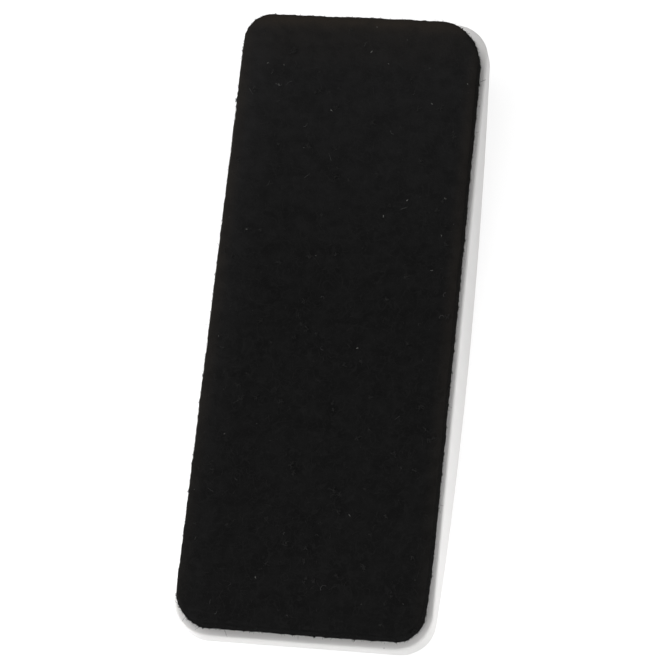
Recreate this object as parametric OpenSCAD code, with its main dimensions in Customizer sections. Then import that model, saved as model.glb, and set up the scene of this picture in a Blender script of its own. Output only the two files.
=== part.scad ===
// Board eraser: a felt pad on a two-part moulded casing whose back is bowed along its length.
// It lies on the crown of its back with the felt up.
// X runs across the eraser, Y along it and Z out of the felt. The origin is the middle of the
// box that the eraser fills, on the surface it lies on.

/* [Casing] */
// Length of the casing, end to end
casing_l = 151.6; // [140:0.2:200]
// Width of the casing, side to side
casing_w = 59.2; // [52:0.1:80]
// Height of the casing from its rim to the crown of its back
casing_h = 22; // [18:0.5:28]
// Height of the casing's end walls
end_h = 5; // [5:0.5:8]
// Radius of the casing's corners, seen from the felt
corner_r = 8.6; // [7:0.1:14]
// Thickness of the casing's walls
wall = 2.2; // [1.6:0.1:2.4]
// Radius of the rounding along the long edges of the back
back_edge_r = 3; // [1:0.1:4]
// Radius of the rounding where the back meets the end walls
end_edge_r = 1.5; // [0.5:0.1:2.5]
// Radius of the rounding along the edges inside the casing
inner_edge_r = 0.8; // [0.5:0.1:1.5]
// Radius of the rounding along the outer edge of the rim
rim_edge_r = 0.6; // [0.3:0.1:1]

/* [Stiffening ribs] */
// Thickness of each rib inside the casing
rib_t = 1.2; // [0.8:0.1:1.6]
// Spaces between cross ribs, from one end row of sockets to the other
rib_spaces = 6; // [4:2:8]

/* [Base plate] */
// Thickness of the plate
plate_t = 2; // [1.6:0.1:2.4]
// Gap between the plate's edge and the casing's wall
plate_gap = 0.15; // [0.1:0.05:0.3]

/* [Pins and sockets] */
// Distance from the casing's end to the nearest row of pins
pin_end_inset = 17.5; // [15:0.5:22]
// Distance from the casing's side to the nearest column of pins
pin_side_inset = 10.6; // [8:0.1:12]
// Radius of a pin
pin_r = 1.8; // [1.4:0.1:2.2]
// Length of a pin
pin_l = 5; // [4:0.5:6]
// Height of the lead-in cone on a pin's tip
pin_lead = 0.8; // [0.4:0.1:1]
// Gap round a pin in its socket
pin_gap = 0.05; // [0.03:0.01:0.1]
// Depth of a socket past the pin's tip
socket_relief = 0.8; // [0.5:0.1:1]
// Thickness of the wall round a socket
socket_wall = 1.5; // [1.2:0.1:2]

/* [Magnets] */
// Length of a magnet bar
magnet_l = 40; // [30:1:44]
// Width of a magnet bar
magnet_w = 12; // [8:1:16]
// Thickness of a magnet bar
magnet_t = 5; // [3:0.5:6]
// Distance from the casing's end to the nearest magnet
magnet_end_inset = 24.5; // [20:0.5:26]
// Gap round a magnet in its pocket
magnet_gap = 0.15; // [0.1:0.05:0.3]
// Gap between the ribs and the magnet and pocket that they pass
hold_gap = 0.2; // [0.1:0.05:0.3]
// Thickness of the plate under a magnet
pocket_floor = 1.2; // [0.8:0.1:1.4]
// Thickness of the wall round a pocket
pocket_wall = 1.2; // [0.8:0.1:1.6]
// Height of the wall round a pocket
pocket_h = 3; // [2:0.5:3.5]

/* [Felt pad] */
// Thickness of the felt
felt_t = 6; // [3:0.5:12]
// Width of the ledge that the casing leaves along each side of the felt
ledge_side = 1.6; // [1:0.1:1.9]
// Width of the ledge that the casing leaves at each end of the felt
ledge_end = 2.1; // [1:0.1:2.1]
// Radius of the felt's corners
felt_corner_r = 7.3; // [5:0.1:12]
// Thickness of the adhesive sheet
adhesive_t = 0.2; // [0.1:0.05:0.5]
// Distance from the felt's edge to the adhesive's edge
adhesive_inset = 1.5; // [1:0.1:4]

/* [Hidden] */
$fn = 96;
// Steps in a full turn of the bow, whose radius is many times the casing's height
bow_fn = 720;

// Radius of the bowed back, from its height at the crown and at the ends
bow_rise = casing_h - end_h;
back_r = (pow(bow_rise, 2) + pow(casing_l / 2, 2)) / (2 * bow_rise);
// Half of the angle that takes in the ends of the rim, with a little to spare
back_half_angle = atan2(casing_l / 2, back_r - casing_h) + 2;

// Levels, counted from the surface under the crown of the back
rim_z = casing_h;
plate_inner_z = rim_z - plate_t;
magnet_face_z = rim_z - pocket_floor;
magnet_back_z = magnet_face_z - magnet_t;
felt_z = rim_z + adhesive_t;

// Outlines that follow from the casing's
plate_inset = wall + plate_gap;
felt_l = casing_l - 2 * ledge_end;
felt_w = casing_w - 2 * ledge_side;

// Places of the pins, the magnets and the cross ribs
pin_y = casing_l / 2 - pin_end_inset;
pin_x = casing_w / 2 - pin_side_inset;
pin_rows = [-pin_y, 0, pin_y];
pin_columns = [-pin_x, pin_x];
socket_r = pin_r + pin_gap;
socket_depth = pin_l + socket_relief;
rib_pitch = 2 * pin_y / rib_spaces;
magnet_y = casing_l / 2 - magnet_end_inset - magnet_l / 2;
pocket_l = magnet_l + 2 * magnet_gap;
pocket_w = magnet_w + 2 * magnet_gap;

// Small distance that keeps one face off another that it would otherwise share
hair = 0.01;

// Rectangle with round corners, centred
module rounded_rectangle(size_x, size_y, r) {
    square([size_x - 2 * r, size_y], center = true);
    square([size_x, size_y - 2 * r], center = true);
    for (x = [-1, 1], y = [-1, 1])
        translate([x * (size_x / 2 - r), y * (size_y / 2 - r)])
            circle(r = r);
}

// The casing's outline, drawn in by an inset all round
module casing_outline(inset) {
    rounded_rectangle(casing_w - 2 * inset, casing_l - 2 * inset, corner_r - inset);
}

// Bar bent along the bow of the back, with its two long outer edges rounded
module bowed_bar(inset, edge_r, top_z) {
    r_out = back_r - inset;
    half_w = casing_w / 2 - inset;
    inner_r = back_r - 2 * top_z;
    translate([0, 0, back_r])
        rotate([0, 90, 0])
            rotate([0, 0, -back_half_angle])
                rotate_extrude(angle = 2 * back_half_angle, $fn = bow_fn) {
                    translate([inner_r, -half_w])
                        square([r_out - edge_r - inner_r, 2 * half_w]);
                    translate([inner_r, edge_r - half_w])
                        square([r_out - inner_r, 2 * (half_w - edge_r)]);
                    for (side = [-1, 1])
                        translate([r_out - edge_r, side * (half_w - edge_r)])
                            circle(r = edge_r, $fn = 48);
                }
}

// Side view of the casing's ends: each end wall runs into the back round a small arc
module end_rounding(inset, edge_r, top_z) {
    r_out = back_r - inset;
    wall_y = casing_l / 2 - inset;
    arc_y = wall_y - edge_r;
    arc_z = back_r - sqrt(pow(r_out - edge_r, 2) - pow(arc_y, 2));
    // Angle along the back at which the arc meets it, and a radius well past the back
    meet = asin(arc_y / (r_out - edge_r));
    past_r = back_r + 2 * top_z;
    past_y = past_r * sin(meet);
    past_z = back_r - past_r * cos(meet);
    rotate([90, 0, 90])
        linear_extrude(height = casing_w + top_z, center = true) {
            for (side = [-1, 1])
                translate([side * arc_y, arc_z])
                    circle(r = edge_r);
            polygon([
                [-wall_y, top_z],
                [-wall_y, arc_z],
                [-arc_y, arc_z],
                [-past_y, past_z],
                [past_y, past_z],
                [arc_y, arc_z],
                [wall_y, arc_z],
                [wall_y, top_z]
            ]);
        }
}

// Half of the casing's cross-section at the rim: a slab whose upper outer edge is rounded
module rim_profile(half_width) {
    square([half_width, rim_z - rim_edge_r]);
    square([half_width - rim_edge_r, rim_z]);
    translate([half_width - rim_edge_r, rim_z - rim_edge_r])
        circle(r = rim_edge_r, $fn = 48);
}

// Straight slab with both upper long edges rounded
module rim_bar(width, length) {
    rotate([90, 0, 0])
        linear_extrude(height = length, center = true) {
            rim_profile(width / 2);
            mirror([1, 0])
                rim_profile(width / 2);
        }
}

// Block with the casing's outline, whose upper edge is rounded all round
module rim_block() {
    half_w = casing_w / 2 - corner_r;
    half_l = casing_l / 2 - corner_r;
    rim_bar(casing_w, 2 * half_l);
    rotate([0, 0, 90])
        rim_bar(casing_l, 2 * half_w);
    for (x = [-1, 1], y = [-1, 1])
        translate([x * half_w, y * half_l, 0])
            rotate_extrude()
                rim_profile(corner_r);
}

// The casing as a solid block
module casing_block() {
    top_z = rim_z + wall;
    intersection() {
        rim_block();
        bowed_bar(0, back_edge_r, top_z);
        end_rounding(0, end_edge_r, top_z);
    }
}

// The casing's form drawn in by an inset all round, up to a level. The bowed bar alone makes
// its long sides, so the outline that cuts the corners stands a hair outside them.
module casing_space(inset, top_z) {
    intersection() {
        linear_extrude(height = top_z)
            casing_outline(inset - hair);
        bowed_bar(inset, inner_edge_r, top_z);
        end_rounding(inset, inner_edge_r, top_z);
    }
}

// Lattice of ribs: one through each column of sockets, and a row of cross ribs
module ribs() {
    for (x = pin_columns)
        translate([x - rib_t / 2, -casing_l / 2, 0])
            cube([rib_t, casing_l, plate_inner_z]);
    for (i = [-rib_spaces / 2 : rib_spaces / 2])
        translate([-casing_w / 2, i * rib_pitch - rib_t / 2, 0])
            cube([casing_w, rib_t, plate_inner_z]);
}

// Places its children where each pin meets the plate
module at_pins() {
    for (x = pin_columns, y = pin_rows)
        translate([x, y, plate_inner_z])
            children();
}

// Ribs and socket walls, rooted halfway into the casing's walls
module lattice() {
    intersection() {
        casing_space(wall / 2, plate_inner_z);
        union() {
            ribs();
            at_pins()
                mirror([0, 0, 1])
                    cylinder(r = socket_r + socket_wall, h = plate_inner_z);
        }
    }
}

module grip_shell() {
    color("white")
        difference() {
            union() {
                difference() {
                    casing_block();
                    casing_space(wall, rim_z + wall);
                }
                lattice();
            }
            at_pins()
                translate([0, 0, -socket_depth])
                    cylinder(r = socket_r, h = socket_depth + wall);
            for (side = [-1, 1])
                pocket_block(side, magnet_back_z - hold_gap, rim_z, pocket_wall + hold_gap);
        }
}

// Block round a magnet's place, wider than the pocket by a margin
module pocket_block(side, low_z, high_z, margin) {
    block_w = pocket_w + 2 * margin;
    block_l = pocket_l + 2 * margin;
    translate([-block_w / 2, side * magnet_y - block_l / 2, low_z])
        cube([block_w, block_l, high_z - low_z]);
}

module base_plate() {
    color("white")
        difference() {
            union() {
                translate([0, 0, plate_inner_z])
                    linear_extrude(height = plate_t)
                        casing_outline(plate_inset);
                for (side = [-1, 1])
                    pocket_block(side, plate_inner_z - pocket_h, plate_inner_z, pocket_wall);
                at_pins()
                    pin();
            }
            for (side = [-1, 1])
                pocket_block(side, magnet_back_z, magnet_face_z, 0);
        }
}

// Pin that stands down from the plate, with a cone that leads it into its socket
module pin() {
    translate([0, 0, pin_lead - pin_l])
        cylinder(r = pin_r, h = pin_l - pin_lead);
    translate([0, 0, -pin_l])
        cylinder(r1 = pin_r - pin_lead / 2, r2 = pin_r, h = pin_lead);
}

module magnet(side) {
    color("dimgray")
        translate([-magnet_w / 2, side * magnet_y - magnet_l / 2, magnet_back_z])
            cube([magnet_w, magnet_l, magnet_t]);
}

module upper_magnet() {
    magnet(1);
}

module lower_magnet() {
    magnet(-1);
}

module adhesive_sheet() {
    color("gainsboro")
        translate([0, 0, rim_z])
            linear_extrude(height = adhesive_t)
                rounded_rectangle(
                    felt_w - 2 * adhesive_inset,
                    felt_l - 2 * adhesive_inset,
                    felt_corner_r - adhesive_inset
                );
}

module felt_pad() {
    color("black")
        translate([0, 0, felt_z])
            linear_extrude(height = felt_t)
                rounded_rectangle(felt_w, felt_l, felt_corner_r);
}

grip_shell();
base_plate();
adhesive_sheet();
felt_pad();
upper_magnet();
lower_magnet();
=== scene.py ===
"""Board eraser: a black felt pad on a white moulded casing, lying on its back."""

import math
import random

import bmesh
import bpy
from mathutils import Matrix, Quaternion, Vector
from mathutils.bvhtree import BVHTree


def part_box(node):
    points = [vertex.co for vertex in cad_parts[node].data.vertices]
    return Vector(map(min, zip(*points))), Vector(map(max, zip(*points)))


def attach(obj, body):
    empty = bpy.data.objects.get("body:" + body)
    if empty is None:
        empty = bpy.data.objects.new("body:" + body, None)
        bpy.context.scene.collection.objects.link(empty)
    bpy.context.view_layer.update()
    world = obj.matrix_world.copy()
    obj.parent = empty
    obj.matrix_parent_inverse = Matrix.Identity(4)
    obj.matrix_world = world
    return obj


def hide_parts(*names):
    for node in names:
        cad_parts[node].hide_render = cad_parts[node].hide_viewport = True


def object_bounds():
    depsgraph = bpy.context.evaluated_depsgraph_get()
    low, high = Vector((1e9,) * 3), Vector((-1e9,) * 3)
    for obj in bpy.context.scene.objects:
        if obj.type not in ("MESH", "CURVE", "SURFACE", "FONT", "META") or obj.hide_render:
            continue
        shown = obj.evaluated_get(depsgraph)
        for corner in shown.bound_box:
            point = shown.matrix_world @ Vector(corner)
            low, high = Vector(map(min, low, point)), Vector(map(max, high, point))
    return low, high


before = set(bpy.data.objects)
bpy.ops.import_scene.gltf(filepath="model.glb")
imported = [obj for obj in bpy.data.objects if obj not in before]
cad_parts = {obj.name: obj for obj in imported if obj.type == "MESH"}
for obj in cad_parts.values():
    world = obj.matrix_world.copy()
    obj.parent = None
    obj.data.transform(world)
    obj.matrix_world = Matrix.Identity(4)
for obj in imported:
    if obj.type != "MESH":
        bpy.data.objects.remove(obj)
cad_low, cad_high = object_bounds()

# ---- Casing ----
# The grip: a hollow shell moulded in white ABS, bowed along its length so that the hand closes
# over it. The mould's walls were blasted, which leaves a fine satin grain with a soft gloss.
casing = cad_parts["grip_shell"]
rim_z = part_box("grip_shell")[1].z
flow_mark_size = 0.022
flow_mark_strength = 8
gloss_patch_size = 0.017
dust_speck_spacing = 0.0016
dust_speck_reach = 0.075
dust_speck_share = 0.10


def shading(tree, kind, inputs, **settings):
    """Adds a shader node. Each input is a number, a colour or another node's output."""
    made = tree.nodes.new("ShaderNode" + kind)
    for name, value in settings.items():
        setattr(made, name, value)
    for name, value in inputs.items():
        if isinstance(value, bpy.types.NodeSocket):
            tree.links.new(value, made.inputs[name])
        else:
            made.inputs[name].default_value = value
    return made


def arithmetic(tree, operation, *terms):
    """Adds a maths node and returns its result."""
    made = shading(tree, "Math", dict(enumerate(terms)), operation=operation)
    return made.outputs["Value"]


def fade(tree, value, start, end, at_start=0.0, at_end=1.0):
    """Runs smoothly from one value at the start of a range to another at its end."""
    ends = {
        "Value": value,
        "From Min": start,
        "From Max": end,
        "To Min": at_start,
        "To Max": at_end,
    }
    made = shading(tree, "MapRange", ends, interpolation_type="SMOOTHSTEP")
    return made.outputs["Result"]


def speckle(tree, place, size, detail=2):
    """A soft noise with features of a given size."""
    made = shading(tree, "TexNoise", {"Vector": place, "Scale": 1 / size, "Detail": detail})
    return made.outputs["Fac"]


def vary(tree, noise, low, high):
    """Spreads a soft noise, whose values mostly lie from 0.3 to 0.7, between two limits."""
    return fade(tree, noise, 0.3, 0.7, low, high)


def tint(colour, strength):
    """A colour made paler or darker by a factor, with full opacity."""
    return (*[strength * part for part in colour], 1)


def blend_tone(tree, factor, first, second):
    """Mixes two colours by a factor."""
    made = shading(tree, "Mix", {"Factor": factor, "A": first, "B": second}, data_type="RGBA")
    return made.outputs["Result"]


def new_finish(name):
    """A new material, its node tree, its shader and its place on the object."""
    material = bpy.data.materials.new(name)
    material.use_nodes = True
    tree = material.node_tree
    place = shading(tree, "TexCoord", {}).outputs["Object"]
    return material, tree, tree.nodes["Principled BSDF"], place


def emboss(tree, shader, height, depth):
    """Gives a shader its fine relief."""
    relief = shading(tree, "Bump", {"Height": height, "Strength": 1, "Distance": depth})
    tree.links.new(relief.outputs["Normal"], shader.inputs["Normal"])


def moulded_plastic(name, colour, grain_size, grain_depth, roughness, dust_from):
    """Satin moulded plastic with a blasted grain, and bits of black dust near its rim."""
    material, tree, shader, place = new_finish(name)
    grain = speckle(tree, place, grain_size, detail=3)
    flow = speckle(tree, place, flow_mark_size)
    height = arithmetic(tree, "MULTIPLY_ADD", flow, flow_mark_strength, grain)
    emboss(tree, shader, height, grain_depth)

    cloud = speckle(tree, place, gloss_patch_size, detail=4)
    gloss = vary(tree, cloud, roughness - 0.05, roughness + 0.07)
    tree.links.new(gloss, shader.inputs["Roughness"])
    clean = blend_tone(tree, cloud, tint(colour, 0.97), tint(colour, 1))

    # Specks of felt dust cling to the plastic, at a tenth of the places where they could.
    cells = shading(tree, "TexVoronoi", {"Vector": place, "Scale": 1 / dust_speck_spacing})
    here = arithmetic(tree, "LESS_THAN", cells.outputs["Distance"], dust_speck_reach)
    chance = shading(tree, "SeparateColor", {"Color": cells.outputs["Color"]})
    chosen = arithmetic(tree, "GREATER_THAN", chance.outputs["Red"], 1 - dust_speck_share)
    height_on_part = shading(tree, "SeparateXYZ", {"Vector": place}).outputs["Z"]
    near_rim = fade(tree, height_on_part, dust_from, rim_z)
    speck = arithmetic(tree, "MULTIPLY", here, chosen)
    speck = arithmetic(tree, "MULTIPLY", speck, near_rim)
    dusty = blend_tone(tree, speck, clean, tint(colour, 0.28))
    tree.links.new(dusty, shader.inputs["Base Color"])
    return material


def dress(piece, material):
    """Gives a piece its one material."""
    piece.data.materials.clear()
    piece.data.materials.append(material)


casing_finish = moulded_plastic(
    "casing_abs",
    colour=(0.81, 0.80, 0.79),
    grain_size=0.0004,
    grain_depth=0.000008,
    roughness=0.40,
    dust_from=rim_z - 0.003,
)
dress(casing, casing_finish)

# ---- Magnets ----
# Two bars of sintered ferrite, pressed from dark grey powder and fired: dense and matt, with
# fine pores and a faint sparkle of crystals. They drop into the plate's pockets.
crystal_size = 0.00018
pore_strength = 2
press_mark_size = 0.005


def sintered_ferrite(name, colour):
    """Dark grey ceramic with pores and crystals."""
    material, tree, shader, place = new_finish(name)
    crystals = speckle(tree, place, crystal_size, detail=3)
    press_marks = speckle(tree, place, press_mark_size)
    pores = fade(tree, crystals, start=0.30, end=0.42)
    height = arithmetic(tree, "MULTIPLY_ADD", pores, pore_strength, press_marks)
    emboss(tree, shader, height, depth=0.00002)
    shader.inputs["Metallic"].default_value = 0.25
    gloss = fade(tree, crystals, start=0.35, end=0.65, at_start=0.62, at_end=0.42)
    tree.links.new(gloss, shader.inputs["Roughness"])
    body = blend_tone(tree, press_marks, tint(colour, 0.8), tint(colour, 1.25))
    # Painted shade: the pores are painted darker than the body.
    tone = blend_tone(tree, pores, tint(colour, 0.45), body)
    tree.links.new(tone, shader.inputs["Base Color"])
    return material


ferrite = sintered_ferrite("magnet_ferrite", (0.060, 0.060, 0.065))
dress(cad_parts["upper_magnet"], ferrite)
dress(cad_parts["lower_magnet"], ferrite)

# ---- Base plate ----
# A flat plate of the same white plastic as the casing, left matt because nothing of it shows
# in use. It closes the hollow, its pins press into the casing, and the felt is stuck to it.
plate_finish = moulded_plastic(
    "plate_abs",
    colour=(0.78, 0.78, 0.77),
    grain_size=0.0006,
    grain_depth=0.000014,
    roughness=0.58,
    dust_from=rim_z - 0.001,
)
dress(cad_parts["base_plate"], plate_finish)

# ---- Adhesive sheet ----
# A clear carrier film with a sticky layer on both sides, die-cut a little smaller than the
# felt. Pressing it down leaves small bubbles and cloudy patches.
cloudy_patch_size = 0.006
bubble_spacing = 0.003


def sticky_film(name, colour):
    """Cloudy glossy film with trapped bubbles."""
    material, tree, shader, place = new_finish(name)
    patches = speckle(tree, place, cloudy_patch_size, detail=3)
    cells = shading(tree, "TexVoronoi", {"Vector": place, "Scale": 1 / bubble_spacing})
    bubbles = fade(tree, cells.outputs["Distance"], start=0.10, end=0.22)
    emboss(tree, shader, bubbles, depth=0.00003)
    shader.inputs["Coat Weight"].default_value = 0.4
    gloss = vary(tree, patches, 0.18, 0.42)
    tree.links.new(gloss, shader.inputs["Roughness"])
    film = blend_tone(tree, patches, tint(colour, 0.88), tint(colour, 1.08))
    tone = blend_tone(tree, bubbles, tint(colour, 1.15), film)
    tree.links.new(tone, shader.inputs["Base Color"])
    return material


dress(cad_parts["adhesive_sheet"], sticky_film("adhesive_film", (0.74, 0.71, 0.62)))

# ---- Felt pad ----
# The wiping face: one slab of black needled felt, die-cut with round corners and stuck down.
# Its sides fray and swell a little past the cut. Its face is a matt tangle of curly fibres.
# Painted light and painted glare make its head and edges paler, and painted shade darkens its
# cut sides.
pad_low, pad_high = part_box("felt_pad")
pad_swell = 0.00020
# Side, end and radius of each corner: the die was a little out of true.
pad_corners = ((-1, 1, 0.0068), (1, 1, 0.0103), (1, -1, 0.0065), (-1, -1, 0.0073))
pad_face_edge = 0.0009
pad_grid = 0.0005
side_creep = 0.00012
creep_share_of_length = 0.75
head_growth = 0.00028
head_skew = 0.00012
foot_taper = 0.0010
taper_share_of_length = 0.3
pad_sink = 0.0004
pad_reach_x = pad_high.x + pad_swell
pad_reach_y = pad_high.y + pad_swell


def select_edges(piece, wanted):
    """In edit mode, selects the edges for which a test of their two ends holds."""
    bpy.ops.mesh.select_mode(type="EDGE")
    bpy.ops.mesh.select_all(action="DESELECT")
    shape = bmesh.from_edit_mesh(piece.data)
    for edge in shape.edges:
        if wanted(edge.verts[0].co, edge.verts[1].co):
            edge.select_set(True)
    bmesh.update_edit_mesh(piece.data)


def at_corner(side, end):
    """A test for the upright edge at one corner of the pad."""
    corner = Vector((side * pad_reach_x, end * pad_reach_y))
    return lambda a, b: max((a.xy - corner).length, (b.xy - corner).length) < 1e-4


def on_face(a, b):
    """Whether an edge lies in the wiping face."""
    return min(a.z, b.z) > pad_high.z - 1e-5


def push_out(piece, name, feature, depth, group=""):
    """Moves a piece's surface in and out by a soft noise, with features of a given size."""
    noise = bpy.data.textures.new(name, "CLOUDS")
    noise.noise_scale = feature
    noise.noise_depth = 1
    relief = piece.modifiers.new(name, "DISPLACE")
    relief.texture = noise
    relief.texture_coords = "LOCAL"
    relief.strength = depth
    relief.mid_level = 0.5
    relief.vertex_group = group
    bpy.ops.object.modifier_apply(modifier=name)


bpy.ops.object.select_all(action="DESELECT")
pad_bottom = pad_low.z - pad_sink
bpy.ops.mesh.primitive_cube_add(size=1, location=(0, 0, (pad_bottom + pad_high.z) / 2))
pad = bpy.context.object
pad.name = "felt_wiping_pad"
pad.scale = (2 * pad_reach_x, 2 * pad_reach_y, pad_high.z - pad_bottom)
bpy.ops.object.transform_apply(location=True, rotation=True, scale=True)
bpy.ops.object.mode_set(mode="EDIT")
for side, end, radius in pad_corners:
    select_edges(pad, at_corner(side, end))
    bpy.ops.mesh.bevel(offset=radius, segments=14, affect="EDGES")
select_edges(pad, on_face)
bpy.ops.mesh.bevel(offset=pad_face_edge, segments=4, affect="EDGES")
bpy.ops.object.mode_set(mode="OBJECT")

even_grid = pad.modifiers.new("even_grid", "REMESH")
even_grid.mode = "VOXEL"
even_grid.voxel_size = pad_grid
bpy.ops.object.modifier_apply(modifier=even_grid.name)

# The cut at the head runs a little askew. The right side has crept out at mid-length, where it
# is pushed, and it draws in towards the foot.
for point in pad.data.vertices:
    across = point.co.x / pad_reach_x
    along = point.co.y / pad_reach_y
    near_head = max(0, 2 * along - 1)
    near_foot = max(0, (-along - (1 - taper_share_of_length)) / taper_share_of_length)
    near_right = max(0, 2 * across - 1)
    mid_length = 1 - min(1, abs(along) / creep_share_of_length) ** 2
    point.co.y += (head_growth - head_skew * across) * near_head
    point.co.x += (side_creep * mid_length - foot_taper * near_foot ** 2) * near_right

# Waves, lumps and tangle run all over the felt. Only its upright sides fray.
side_tilt = 0.6
cut_sides = pad.vertex_groups.new(name="cut_sides")
side_points = [point.index for point in pad.data.vertices if abs(point.normal.z) < side_tilt]
cut_sides.add(side_points, 1, "REPLACE")
push_out(pad, "felt_waves", feature=0.014, depth=0.00020)
push_out(pad, "felt_lumps", feature=0.0035, depth=0.00020)
push_out(pad, "felt_tangle", feature=0.0012, depth=0.00024)
push_out(pad, "cut_frays", feature=0.0011, depth=0.00018, group="cut_sides")
bpy.ops.object.shade_smooth()


def curly_lines(tree, place, curl, spread):
    """Thin wandering lines: a fibre lies where a smooth noise crosses its middle value."""
    settings = {"Vector": place, "Scale": 1 / curl, "Detail": 1, "Distortion": 0.6}
    noise = shading(tree, "TexNoise", settings).outputs["Fac"]
    off_middle = arithmetic(tree, "ABSOLUTE", arithmetic(tree, "SUBTRACT", noise, 0.5))
    return fade(tree, off_middle, 0, spread, at_start=1, at_end=0)


def edge_layer(tree, from_edge, reach, strength):
    """A layer that is strongest at an edge of the pad and fades out over its reach."""
    return fade(tree, from_edge, 0, reach, at_start=strength, at_end=0)


fuzz_size = 0.0014
tuft_size = 0.0036
nap_size = 0.0006
tangle_strength = 0.25


def needled_felt(name, colour, painted_light_colour, glare_colour):
    """Black needled felt: fibres painted paler than the hollows, and painted light, glare and
    shade.
    """
    material, tree, shader, place = new_finish(name)
    shader.inputs["Roughness"].default_value = 1.0
    shader.inputs["Specular IOR Level"].default_value = 0.0
    shader.inputs["Sheen Weight"].default_value = 0.012
    shader.inputs["Sheen Roughness"].default_value = 0.6

    large = curly_lines(tree, place, curl=0.0040, spread=0.022)
    medium = curly_lines(tree, place, curl=0.0024, spread=0.028)
    small = curly_lines(tree, place, curl=0.0013, spread=0.034)
    tangle = arithmetic(tree, "MAXIMUM", large, arithmetic(tree, "MAXIMUM", medium, small))
    fuzz = speckle(tree, place, fuzz_size)
    tufts = speckle(tree, place, tuft_size)
    nap = speckle(tree, place, nap_size)
    height = arithmetic(tree, "MULTIPLY_ADD", tangle, tangle_strength, nap)
    emboss(tree, shader, height, depth=0.00011)

    # Painted light pales the head half, and painted glare a band along the left side. Narrower
    # bands of painted glare pale the head and both sides. Towards the foot the left side's glare
    # and the sides' bands grow weaker.
    axes = shading(tree, "SeparateXYZ", {"Vector": place})
    from_head = arithmetic(tree, "SUBTRACT", pad_reach_y, axes.outputs["Y"])
    from_left = arithmetic(tree, "ADD", pad_reach_x, axes.outputs["X"])
    from_right = arithmetic(tree, "SUBTRACT", pad_reach_x, axes.outputs["X"])
    patchy = vary(tree, tufts, 0.75, 1.1)
    along = axes.outputs["Y"]
    less_at_foot = fade(tree, along, start=-0.060, end=0.010, at_start=0.35, at_end=1)
    head_painted_light = edge_layer(tree, from_head, reach=0.080, strength=0.38)
    left_painted_glare = edge_layer(tree, from_left, reach=0.0110, strength=0.36)
    painted_light = arithmetic(tree, "MULTIPLY_ADD", left_painted_glare, less_at_foot, head_painted_light)
    painted_light = arithmetic(tree, "MULTIPLY", painted_light, patchy)
    heavy_head_glare = edge_layer(tree, from_head, reach=0.0048, strength=0.90)
    light_head_glare = edge_layer(tree, from_head, reach=0.017, strength=0.27)
    head_glare = arithmetic(tree, "ADD", heavy_head_glare, light_head_glare)
    left_edge_glare = edge_layer(tree, from_left, reach=0.0040, strength=0.62)
    right_edge_glare = edge_layer(tree, from_right, reach=0.0036, strength=0.44)
    side_glare = arithmetic(tree, "ADD", left_edge_glare, right_edge_glare)
    side_glare = arithmetic(tree, "MULTIPLY", side_glare, less_at_foot)
    painted_glare = arithmetic(tree, "MAXIMUM", head_glare, side_glare)
    painted_glare = arithmetic(tree, "MULTIPLY", painted_glare, patchy)

    ground = blend_tone(tree, fuzz, tint(colour, 0.74), tint(colour, 1.20))
    mottle = vary(tree, tufts, 0.87, 1.15)
    ground = shading(tree, "VectorMath", {0: ground, "Scale": mottle}, operation="SCALE")
    # Painted highlights: the fibres of the tangle are painted paler than the ground between
    # them.
    strands = blend_tone(tree, tangle, ground.outputs["Vector"], tint(colour, 1.35))
    # Painted light and painted glare pale the felt.
    lit_felt = blend_tone(tree, painted_light, strands, tint(painted_light_colour, 1))
    glared_felt = blend_tone(tree, painted_glare, lit_felt, tint(glare_colour, 1))

    # Painted shade: the upright cut sides are painted darker than the brushed face.
    facing = shading(tree, "NewGeometry", {}).outputs["Normal"]
    upward = shading(tree, "SeparateXYZ", {"Vector": facing}).outputs["Z"]
    painted_side_shade = fade(tree, upward, start=0.2, end=0.8, at_start=0.65, at_end=1)
    shaded = shading(tree, "VectorMath", {0: glared_felt, "Scale": painted_side_shade}, operation="SCALE")
    tree.links.new(shaded.outputs["Vector"], shader.inputs["Base Color"])
    return material


# The felt's own black, then the colours of its painted light and its painted glare.
black_felt = needled_felt(
    "black_felt",
    colour=(0.0081, 0.0081, 0.0081),
    painted_light_colour=(0.0207, 0.0203, 0.0208),
    glare_colour=(0.0244, 0.0208, 0.0176),
)
dress(pad, black_felt)
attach(pad, "root")
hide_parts("felt_pad")

# ---- Loose fibres ----
# Ends and loops of the felt's own fibres stand out of it: most of them along the cut sides,
# singly and in small tufts, and some on the face, where paler ones and bits of lint catch the
# light. Each is a fine curled strand with its root in the felt.
strand_steps = 5
strand_radius = 0.000025
root_depth = 0.0002
streak_size = 0.0006
beyond_felt = 1.1
above_felt = 0.001
share_of_worn_sides = 0.62
bare_side_strip = 0.0012
bare_end_strip = 0.0022
short_edge_fibres = 2600
long_edge_fibres = 60
felt_surface = BVHTree.FromObject(pad, bpy.context.evaluated_depsgraph_get())


def fibre_curve(name):
    """An empty curve whose strands are drawn as fine round threads."""
    curve = bpy.data.curves.new(name, "CURVE")
    curve.dimensions = "3D"
    curve.bevel_depth = strand_radius
    curve.bevel_resolution = 0
    curve.use_fill_caps = True
    piece = bpy.data.objects.new(name, curve)
    bpy.context.scene.collection.objects.link(piece)
    return piece


def add_strand(piece, root, heading, length, curl, thickness=1.0):
    """Adds a fibre to a curve: it leaves its root along its heading and curls as it goes."""
    strand = piece.data.splines.new("POLY")
    strand.points.add(strand_steps)
    point = Vector(root)
    direction = Vector(heading).normalized()
    axis = direction.cross(any_way()).normalized()
    for step, knot in enumerate(strand.points):
        knot.co = (*point, 1)
        knot.radius = thickness * (1 - 0.5 * step / strand_steps)
        direction.rotate(Quaternion(axis, curl / strand_steps))
        point += direction * length / strand_steps


def finish_fibres(piece, material):
    """Turns a curve of strands into a mesh that rides with the felt."""
    bpy.ops.object.select_all(action="DESELECT")
    bpy.context.view_layer.objects.active = piece
    piece.select_set(True)
    bpy.ops.object.convert(target="MESH")
    bpy.ops.object.shade_smooth()
    dress(piece, material)
    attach(piece, "root")


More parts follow.
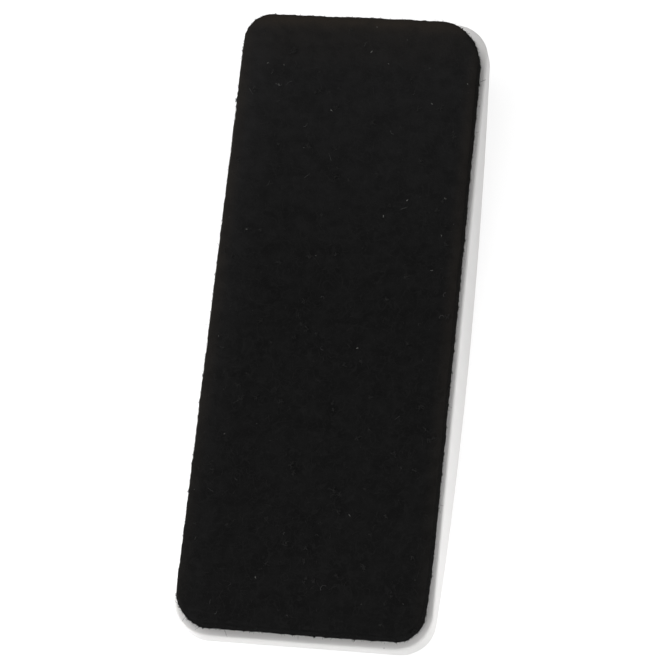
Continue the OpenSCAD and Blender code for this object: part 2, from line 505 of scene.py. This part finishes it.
def fibre(name, colour):
    """A single matt fibre with slow changes of tone."""
    material, tree, shader, place = new_finish(name)
    shader.inputs["Roughness"].default_value = 0.8
    shader.inputs["Specular IOR Level"].default_value = 0.1
    streak = speckle(tree, place, streak_size, detail=1)
    tone = blend_tone(tree, streak, tint(colour, 0.55), tint(colour, 1.45))
    tree.links.new(tone, shader.inputs["Base Color"])
    return material


def any_way():
    """A random direction."""
    return Vector([random.uniform(-1, 1) for _ in range(3)])


def on_felt(x, y, z):
    """The felt's surface nearest to a place, as a root just below it and the way out."""
    spot, out, _, _ = felt_surface.find_nearest(Vector((x, y, z)))
    return spot - out * root_depth, out


def on_cut_side(lowest, highest):
    """A random root on the felt's cut sides between two shares of their height, and the way out.

    The right side and the foot end, which rub the most, get the larger part of them.
    """
    around = random.uniform(-1, 1)
    up = random.uniform(lowest, highest)
    z = pad_low.z + up * (pad_high.z - pad_low.z)
    wide = beyond_felt * pad_reach_x
    long = beyond_felt * pad_reach_y
    share_of_ends = wide / (wide + long)
    worn_side = 1 if random.random() < share_of_worn_sides else -1
    if random.random() < share_of_ends:
        return on_felt(around * wide, -worn_side * long, z)
    return on_felt(worn_side * wide, around * long, z)


def on_the_face(crowding=1.0):
    """A random root on the wiping face and the way out there. Crowding draws it to the head."""
    x = random.uniform(-1, 1) * (pad_reach_x - bare_side_strip)
    y = (1 - 2 * random.random() ** crowding) * (pad_reach_y - bare_end_strip)
    root, out = on_felt(x, y, pad_high.z + above_felt)
    return root + out * (root_depth - strand_radius), out


def lying(out, rise):
    """A random direction along the surface, with a given rise out of it."""
    flat = any_way()
    flat -= out * flat.dot(out)
    return flat.normalized() + out * rise


random.seed(11)
black_fibre = fibre("black_fibre", (0.010, 0.010, 0.010))

edge_fibres = fibre_curve("felt_edge_fibres")
for _ in range(short_edge_fibres):
    root, out = on_cut_side(lowest=0.05, highest=0.95)
    heading = lying(out, rise=random.uniform(0.3, 1.6))
    length = random.uniform(0.0004, 0.0010)
    curl = random.uniform(-2.5, 2.5)
    add_strand(edge_fibres, root, heading, length, curl)
for _ in range(long_edge_fibres):
    root, out = on_cut_side(lowest=0.05, highest=0.95)
    heading = lying(out, rise=random.uniform(0.8, 2.0))
    length = random.uniform(0.0010, 0.0020)
    curl = random.uniform(-3, 3)
    add_strand(edge_fibres, root, heading, length, curl, thickness=1.5)

# Three thicker ones lie out over the casing's ledge. For each: the place it starts nearest to,
# its heading, its length, its curl and its thickness.
ledge_fibres = (
    ((0.05, 0.0603, 0.0245), (1, 0.5, -0.12), 0.0020, 0.4, 2.4),
    ((0.05, -0.0611, 0.0236), (1, 0.30, 0.0), 0.0013, 3.0, 5.0),
    ((0.012, -0.09, 0.0240), (0.7, -1, 0), 0.0012, 1.5, 2.6),
)
for place, heading, length, curl, thickness in ledge_fibres:
    root, _ = on_felt(*place)
    add_strand(edge_fibres, root, heading, length, curl, thickness)
finish_fibres(edge_fibres, black_fibre)


def add_tuft(piece, root, way, size, strands, thickness=1.5):
    """Adds a tuft: strands that leave one small spot the same way and spread a little."""
    lean = way + lying(way, 0) * 0.5
    for _ in range(strands):
        start = root + any_way() * 0.3 * size
        heading = lean + any_way() * 0.5
        length = size * random.uniform(0.7, 1.2)
        curl = random.uniform(-3, 3)
        add_strand(piece, start, heading, length, curl, thickness)


# Tufts stand out along the upper half of the sides, with three thick ones among them.
edge_tuft_count = 380
edge_tufts = fibre_curve("felt_edge_tufts")
for _ in range(edge_tuft_count):
    root, out = on_cut_side(lowest=0.55, highest=0.97)
    size = random.uniform(0.00025, 0.0006)
    add_tuft(edge_tufts, root, out, size, strands=10)
for place in ((0.05, -0.0145, 0.0265), (-0.05, 0.0525, 0.0270), (0.012, 0.09, 0.0270)):
    add_tuft(edge_tufts, *on_felt(*place), size=0.0006, strands=40)
finish_fibres(edge_tufts, black_fibre)

# Low down on the sides the fibres are crushed out over the ledge, in thicker tufts.
low_tuft_count = 420
foot_tufts = fibre_curve("felt_foot_tufts")
for _ in range(low_tuft_count):
    root, out = on_cut_side(lowest=0.0, highest=0.16)
    size = random.uniform(0.0002, 0.0005)
    add_tuft(foot_tufts, root, out, size, strands=8, thickness=2.4)
finish_fibres(foot_tufts, black_fibre)

# The face has a thin cover of dark fibres.
face_fibre_count = 700
face_fibres = fibre_curve("felt_face_fibres")
for _ in range(face_fibre_count):
    root, out = on_the_face()
    length = random.uniform(0.0008, 0.0024)
    heading = lying(out, rise=0.25)
    curl = random.uniform(-3, 3)
    add_strand(face_fibres, root, heading, length, curl, thickness=1.3)
finish_fibres(face_fibres, fibre("grey_fibre", (0.018, 0.0175, 0.017)))

# Paler fibres and short thick bits of lint lie more often towards the head.
bright_fibre_count = 50
lint_count = 28
bright_fibres = fibre_curve("felt_bright_fibres")
for _ in range(bright_fibre_count):
    root, out = on_the_face(crowding=1.25)
    length = random.uniform(0.0007, 0.0022)
    thickness = random.uniform(1.2, 2.1)
    heading = lying(out, rise=0.4)
    curl = random.uniform(-4, 4)
    add_strand(bright_fibres, root, heading, length, curl, thickness)
finish_fibres(bright_fibres, fibre("bright_fibre", (0.062, 0.062, 0.061)))

lint = fibre_curve("felt_lint")
for _ in range(lint_count):
    root, out = on_the_face(crowding=1.6)
    length = random.uniform(0.0002, 0.0007)
    thickness = random.uniform(2.0, 3.6)
    heading = lying(out, rise=0.3)
    curl = random.uniform(-3, 3)
    add_strand(lint, root, heading, length, curl, thickness)
finish_fibres(lint, fibre("pale_lint", (0.20, 0.20, 0.19)))

# Brushing has raised small soft tufts on the face, which lie over and catch a little light.
face_tuft_count = 105
face_tufts = fibre_curve("felt_face_tufts")
for _ in range(face_tuft_count):
    root, out = on_the_face(crowding=1.05)
    size = random.uniform(0.0006, 0.0013)
    way = lying(out, rise=0.05)
    add_tuft(face_tufts, root, way, size, strands=16, thickness=2.3)
finish_fibres(face_tufts, fibre("brushed_tuft", (0.0205, 0.0203, 0.0200)))

# ---- Floor and backdrop ----
# A plain white studio floor that keeps the eraser's soft shadow, in a plain white room. Away
# from the lamps it glows a little more, so that it stays one even white up to the horizon.
floor_size = 20
lit_floor_radius = 0.2
far_floor_radius = 0.9
glow_near_lamps = 0.82
glow_far_off = 0.94
bpy.ops.object.select_all(action="DESELECT")
bpy.ops.mesh.primitive_plane_add(size=floor_size, location=(0, 0, 0))
floor = bpy.context.object
floor.name = "studio_floor"


def seen_by_eye(tree):
    """A value of 1 for what the camera sees, straight, in a reflection or through glass."""
    path = shading(tree, "LightPath", {})
    straight_or_mirrored = arithmetic(
        tree, "MAXIMUM", path.outputs["Is Camera Ray"], path.outputs["Is Glossy Ray"]
    )
    through_glass = path.outputs["Is Transmission Ray"]
    return arithmetic(tree, "MAXIMUM", straight_or_mirrored, through_glass)


# The eraser gets the bounce of a pale floor. The eye sees its shadow on an even white.
floor_paint = bpy.data.materials.new("studio_floor")
floor_paint.use_nodes = True
floor_tree = floor_paint.node_tree
floor_tree.nodes.remove(floor_tree.nodes["Principled BSDF"])
bounce = shading(floor_tree, "BsdfDiffuse", {"Color": (0.7, 0.7, 0.7, 1)})
shadow_catcher = shading(floor_tree, "BsdfDiffuse", {"Color": (0.32, 0.32, 0.32, 1)})
spot_on_floor = shading(floor_tree, "TexCoord", {}).outputs["Object"]
from_middle = shading(floor_tree, "VectorMath", {0: spot_on_floor}, operation="LENGTH")
even_white = fade(
    floor_tree,
    from_middle.outputs["Value"],
    lit_floor_radius,
    far_floor_radius,
    glow_near_lamps,
    glow_far_off,
)
glow = shading(floor_tree, "Emission", {"Strength": even_white})
look = shading(
    floor_tree, "AddShader", {0: shadow_catcher.outputs["BSDF"], 1: glow.outputs["Emission"]}
)
floor_choice = shading(
    floor_tree,
    "MixShader",
    {0: seen_by_eye(floor_tree), 1: bounce.outputs["BSDF"], 2: look.outputs["Shader"]},
)
floor_out = floor_tree.nodes["Material Output"]
floor_tree.links.new(floor_choice.outputs["Shader"], floor_out.inputs["Surface"])
dress(floor, floor_paint)

room_light_strength = 0.30
room = bpy.data.worlds.new("studio_room")
bpy.context.scene.world = room
room.use_nodes = True
room_tree = room.node_tree
room_light = room_tree.nodes["Background"]
room_light.inputs["Color"].default_value = (1, 1, 1, 1)
room_light.inputs["Strength"].default_value = room_light_strength
room_wall = shading(room_tree, "Background", {"Color": (1, 1, 1, 1), "Strength": 1})
room_choice = shading(
    room_tree,
    "MixShader",
    {
        0: seen_by_eye(room_tree),
        1: room_light.outputs["Background"],
        2: room_wall.outputs["Background"],
    },
)
room_out = room_tree.nodes["World Output"]
room_tree.links.new(room_choice.outputs["Shader"], room_out.inputs["Surface"])

# ---- Lamps ----
# A large soft lamp hangs overhead. A weaker one at the left, a broad one in front and a small
# low one near the front left corner fill the shadows, and a card shines on the right side.
middle = (cad_low + cad_high) / 2


def soft_lamp(name, place, width, power):
    """A square lamp that faces the middle of the eraser."""
    bpy.ops.object.light_add(type="AREA", location=place)
    lamp = bpy.context.object
    lamp.name = name
    lamp.data.size = width
    lamp.data.energy = power
    lamp.rotation_euler = (Vector(place) - middle).to_track_quat("Z", "Y").to_euler()
    lamp.visible_camera = False


soft_lamp("key_lamp", place=(-0.10, 0.16, 0.62), width=0.32, power=1.33)
soft_lamp("left_lamp", place=(-0.50, 0.07, 0.35), width=0.30, power=0.6)
soft_lamp("side_card", place=(0.14, -0.07, 0.05), width=0.10, power=0.089)
soft_lamp("front_lamp", place=(-0.35, -0.45, 0.30), width=0.35, power=0.71)
soft_lamp("low_lamp", place=(-0.20, -0.30, 0.10), width=0.20, power=0.45)

# ---- Camera ----
# It looks down on the felt from the right and the front, turned so that the pad stands upright.
aim = Vector((0.0015, -0.0051, cad_high.z))
camera_distance = 0.6467
camera_turn = math.radians(29.21)
camera_rise = math.radians(70.30)
camera_roll = math.radians(-24.46)
camera_lens_mm = 152.2
camera_film_mm = 36
back = Vector((
    math.sin(camera_turn) * math.cos(camera_rise),
    -math.cos(camera_turn) * math.cos(camera_rise),
    math.sin(camera_rise),
))
bpy.ops.object.camera_add(location=aim + back * camera_distance)
camera = bpy.context.object
camera.name = "camera"
camera.data.lens = camera_lens_mm
camera.data.sensor_width = camera_film_mm
camera.rotation_mode = "QUATERNION"
camera.rotation_quaternion = back.to_track_quat("Z", "Y") @ Quaternion((0, 0, 1), camera_roll)
bpy.context.scene.camera = camera
bpy.context.scene.view_settings.view_transform = "Standard"
